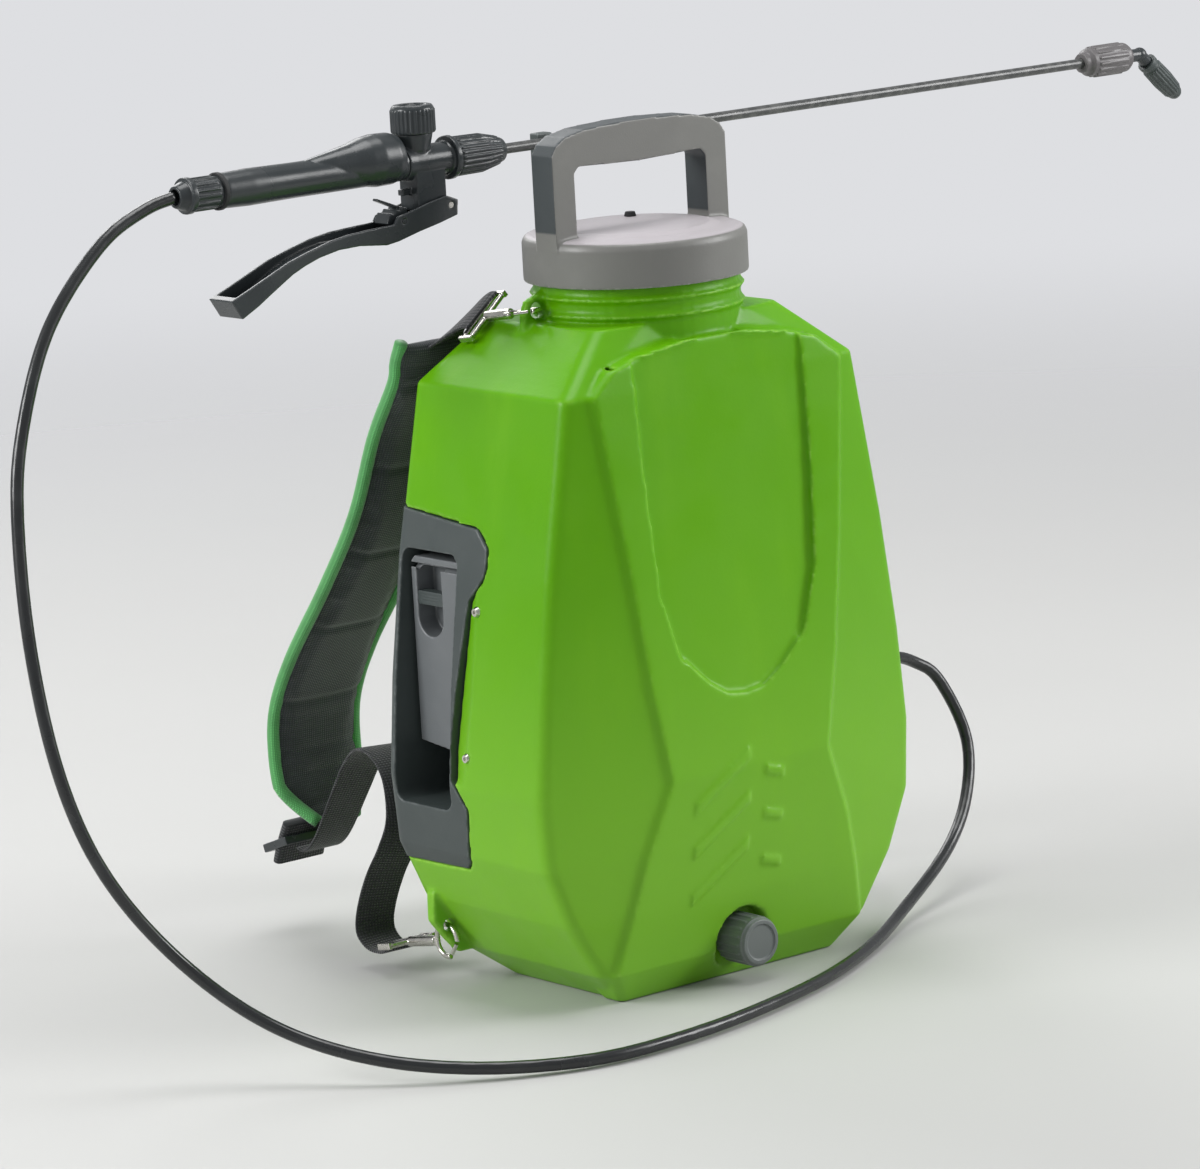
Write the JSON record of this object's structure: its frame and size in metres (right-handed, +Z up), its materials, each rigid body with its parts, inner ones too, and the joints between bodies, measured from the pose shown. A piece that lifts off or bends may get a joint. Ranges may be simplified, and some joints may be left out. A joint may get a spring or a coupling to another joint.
{
  "type": "battery knapsack sprayer",
  "caption": "Battery knapsack sprayer: moulded tank with screw lid and bail handle, side battery, padded straps, hose and trigger lance.",
  "frame": {"origin": "on the floor, on the axis of the filler neck", "axes": "+X to the right seen from the front, -Y the front that faces away from the wearer, +Z up"},
  "size_m": [1.0635, 0.4555, 0.5836],
  "materials": {
    "tank_green": "translucent blow-moulded polyethylene, satin",
    "lid_grey": "moulded, fine texture",
    "charcoal_plastic": "moulded, fine texture",
    "black_plastic": "moulded, semi-gloss",
    "battery_grey": "moulded",
    "rubber_black": "matt",
    "hose_black": "smooth, glossy",
    "zinc_steel": "bright zinc plate",
    "brass": "machined",
    "strap_fabric": "black mesh over foam",
    "webbing": "woven nylon webbing",
    "red_plastic": "moulded",
    "board_green": "lacquered board"
  },
  "bodies": {
    "tank": {"tank_shell": "tank_green", "filler_strainer": "black_plastic", "battery_housing": "charcoal_plastic", "battery_contacts": "brass", "housing_screws": "zinc_steel", "pump_cover": "charcoal_plastic", "cover_screws": "zinc_steel", "pump_motor": "zinc_steel", "pump_head": "black_plastic", "pressure_switch": "brass", "control_board": "board_green", "suction_tube": "black_plastic", "suction_filter": "brass", "discharge_tube": "black_plastic", "outlet_fitting": "brass", "power_cable": "rubber_black", "hose": "hose_black", "hose_nut": "charcoal_plastic", "lance_holder": "charcoal_plastic", "holder_screws": "zinc_steel", "shoulder_pad_left": "strap_fabric", "shoulder_pad_right": "strap_fabric", "upper_webbing": "webbing", "lower_webbing": "webbing", "strap_buckles": "black_plastic", "upper_hooks": "zinc_steel", "lower_hooks": "zinc_steel"},
    "lid_seal": {"lid_gasket": "rubber_black"},
    "lid": {"lid": "lid_grey", "vent_valve": "rubber_black"},
    "drain_seal": {"drain_gasket": "rubber_black"},
    "drain_plug": {"drain_cap": "lid_grey"},
    "battery": {"battery_pack": "battery_grey", "latch_spring": "zinc_steel"},
    "latch": {"battery_latch": "charcoal_plastic"},
    "switch": {"power_switch": "red_plastic"},
    "knob": {"pressure_knob": "black_plastic"},
    "gate_ul": {"upper_gate_left": "zinc_steel"},
    "gate_ur": {"upper_gate_right": "zinc_steel"},
    "gate_ll": {"lower_gate_left": "zinc_steel"},
    "gate_lr": {"lower_gate_right": "zinc_steel"},
    "wand": {"tail_nut": "black_plastic", "tail_seal": "rubber_black", "trigger_grip": "black_plastic", "valve_body": "black_plastic", "valve_cap": "black_plastic", "valve_spring": "zinc_steel", "lever_pin": "zinc_steel", "lance_nut": "black_plastic", "lance_seal": "rubber_black", "lance_tube": "black_plastic", "nozzle_nut": "lid_grey"},
    "stem": {"valve_stem": "zinc_steel"},
    "lever": {"trigger_lever": "black_plastic"},
    "lock": {"trigger_lock": "black_plastic"},
    "elbow": {"nozzle_elbow": "black_plastic", "nozzle_tip": "red_plastic"},
    "spray_cap": {"nozzle_cap": "charcoal_plastic"}
  },
  "joints": [
    {"name": "lid_turn", "type": "hinge", "parent": "tank", "child": "lid_seal", "pos_m": [0, 0, 0.486], "axis": [0, 0, 1], "range_deg": [0, 540]},
    {"name": "lid_lift", "type": "slide", "parent": "lid_seal", "child": "lid", "axis": [0, 0, 1], "range_m": [0, 0.018]},
    {"name": "drain_turn", "type": "hinge", "parent": "tank", "child": "drain_seal", "pos_m": [0, -0.076, 0.027], "axis": [0, -1, 0], "range_deg": [0, 720]},
    {"name": "drain_draw", "type": "slide", "parent": "drain_seal", "child": "drain_plug", "axis": [0, -1, 0], "range_m": [0, 0.008]},
    {"name": "battery_slide", "type": "slide", "parent": "tank", "child": "battery", "axis": [0, 0, -1], "range_m": [0, 0.02]},
    {"name": "latch_press", "type": "slide", "parent": "battery", "child": "latch", "axis": [1, 0, 0], "range_m": [0, 0.003], "stiffness_N_per_m": 400, "deforming": ["latch_spring"]},
    {"name": "power_rock", "type": "hinge", "parent": "tank", "child": "switch", "pos_m": [0.141, 0.036, 0.2], "axis": [0, 1, 0], "range_deg": [0, 12]},
    {"name": "pressure_turn", "type": "hinge", "parent": "tank", "child": "knob", "pos_m": [0.14, 0.062, 0.2], "axis": [1, 0, 0], "range_deg": [0, 270]},
    {"name": "wand_lift", "type": "slide", "parent": "tank", "child": "wand", "axis": [0, 0, 1], "range_m": [0, 0.06], "deforming": ["hose"]},
    {"name": "trigger_squeeze", "type": "hinge", "parent": "wand", "child": "lever", "pos_m": [-0.095, 0.083, 0.5165], "axis": [0, 1, 0], "range_deg": [0, 8], "stiffness_Nm_per_rad": 0.5},
    {"name": "valve_press", "type": "slide", "parent": "wand", "child": "stem", "axis": [0, 0, 1], "range_m": [0, 0.0025], "deforming": ["valve_spring"]},
    {"name": "lock_swing", "type": "hinge", "parent": "lever", "child": "lock", "pos_m": [-0.134, 0.083, 0.5105], "axis": [0, -1, 0], "range_deg": [0, 20]},
    {"name": "elbow_swivel", "type": "hinge", "parent": "wand", "child": "elbow", "pos_m": [0.53, 0.083, 0.546], "axis": [1, 0, 0], "continuous": true},
    {"name": "spray_adjust", "type": "hinge", "parent": "elbow", "child": "spray_cap", "pos_m": [0.552, 0.083, 0.546], "axis": [0.7431, 0, -0.6691], "range_deg": [0, 360]},
    {"name": "upper_gate_l", "type": "hinge", "parent": "tank", "child": "gate_ul", "pos_m": [-0.08396, 0.00715, 0.44953], "axis": [0, -0.1392, -0.9903], "range_deg": [0, 28], "stiffness_Nm_per_rad": 0.02},
    {"name": "lower_gate_l", "type": "hinge", "parent": "tank", "child": "gate_ll", "pos_m": [-0.1335, 0.06104, 0.02996], "axis": [1, 0, 0], "range_deg": [0, 28], "stiffness_Nm_per_rad": 0.02},
    {"name": "upper_gate_r", "type": "hinge", "parent": "tank", "child": "gate_ur", "pos_m": [0.08396, 0.00715, 0.44953], "axis": [0, 0.1392, 0.9903], "range_deg": [0, 28], "stiffness_Nm_per_rad": 0.02},
    {"name": "lower_gate_r", "type": "hinge", "parent": "tank", "child": "gate_lr", "pos_m": [0.1335, 0.06104, 0.02996], "axis": [1, 0, 0], "range_deg": [0, 28], "stiffness_Nm_per_rad": 0.02}
  ],
  "couplings": [
    {"joint": "lid_lift", "follows": "lid_turn", "m_per_rad": 0.0018992},
    {"joint": "drain_draw", "follows": "drain_turn", "m_per_rad": 0.0006287},
    {"joint": "valve_press", "follows": "trigger_squeeze", "m_per_rad": 0.0178}
  ]
}
